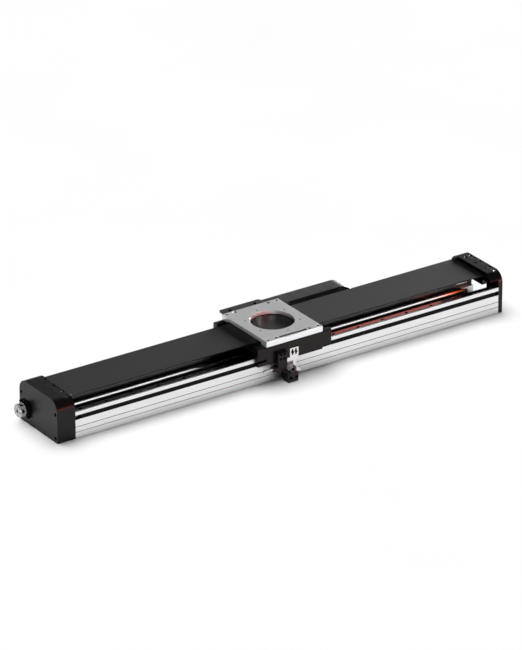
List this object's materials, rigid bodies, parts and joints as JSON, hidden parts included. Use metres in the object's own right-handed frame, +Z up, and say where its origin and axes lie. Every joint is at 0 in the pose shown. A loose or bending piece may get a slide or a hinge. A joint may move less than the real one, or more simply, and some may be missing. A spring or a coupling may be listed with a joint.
{
  "type": "linear motor stage",
  "caption": "Linear motor stage: extruded base with magnet track and guide rails, a sliding carriage with a bored load plate, and a cable carrier.",
  "frame": {"origin": "middle of the bottom mounting face, half way along the two end blocks", "axes": "+X along the travel from the connector end to the cable window end, +Y from the front with the sensors to the back with the cable carrier, +Z up to the load plate"},
  "size_m": [1.092, 0.228, 0.0928],
  "materials": {
    "clear_anodised": "clear anodised, fine extruded lines",
    "black_anodised": "black, semi-gloss",
    "rail_steel": "ground hardened steel",
    "bright_plate": "milled and clear anodised",
    "dark_steel": "black oxide",
    "bright_screw": "zinc plated",
    "black_plastic": "moulded, fine grain",
    "grey_steel": "stainless, bright",
    "magnet_nickel": "nickel plated",
    "resin_coil": "dark potting resin",
    "core_steel": "laminated",
    "bumper_rubber": "black polyurethane",
    "contact_brass": "gold plated",
    "seal_rubber": "black seal"
  },
  "bodies": {
    "base": {"base_extrusion": "clear_anodised", "slot_cover_front": "black_plastic", "slot_cover_back": "black_plastic", "guide_rail_front": "rail_steel", "guide_rail_back": "rail_steel", "rail_screws": "dark_steel", "magnet_yokes": "core_steel", "magnets": "magnet_nickel", "magnet_covers": "resin_coil", "encoder_tape": "grey_steel", "left_end_plate": "black_anodised", "left_end_housing": "black_anodised", "right_end_plate": "black_anodised", "right_clamp_bar": "black_anodised", "top_cover": "black_anodised", "cover_screws": "dark_steel", "housing_screws": "dark_steel", "end_plate_screws": "dark_steel", "connector_flange": "black_anodised", "connector_shell": "bright_screw", "connector_insert": "black_plastic", "connector_contacts": "contact_brass", "connector_screws": "dark_steel", "rail_stops": "black_anodised", "bumpers": "bumper_rubber", "chain_tray": "black_anodised", "tray_screws": "dark_steel", "chain_fixed_end": "black_plastic", "chain_lower": "black_plastic"},
    "carriage": {"guide_blocks": "rail_steel", "block_end_caps": "black_plastic", "block_wipers": "seal_rubber", "carriage_plate": "black_anodised", "carriage_screws": "dark_steel", "motor_core": "core_steel", "motor_coils": "resin_coil", "encoder_head": "black_plastic", "riser_front": "black_anodised", "riser_back": "black_anodised", "riser_screws": "dark_steel", "top_plate": "bright_plate", "plate_strip": "black_plastic", "top_plate_screws": "dark_steel", "chain_bracket": "black_anodised", "chain_bracket_screws": "dark_steel", "chain_moving_end": "black_plastic", "chain_upper": "black_plastic", "switch_block": "black_anodised", "switch_screws": "dark_steel", "switch_barrel": "black_plastic", "switch_flag": "bright_screw", "sensor_bracket": "grey_steel", "sensor_box": "black_plastic", "sensor_screws": "dark_steel"},
    "bend": {"chain_bend": "black_plastic"}
  },
  "joints": [
    {"name": "carriage_slide", "type": "slide", "parent": "base", "child": "carriage", "axis": [1, 0, 0], "range_m": [-0.358, 0.342], "deforming": ["chain_upper"]},
    {"name": "bend_slide", "type": "slide", "parent": "base", "child": "bend", "axis": [1, 0, 0], "range_m": [-0.179, 0.171], "deforming": ["chain_lower"]}
  ],
  "couplings": [
    {"joint": "bend_slide", "follows": "carriage_slide", "ratio": 0.5}
  ]
}
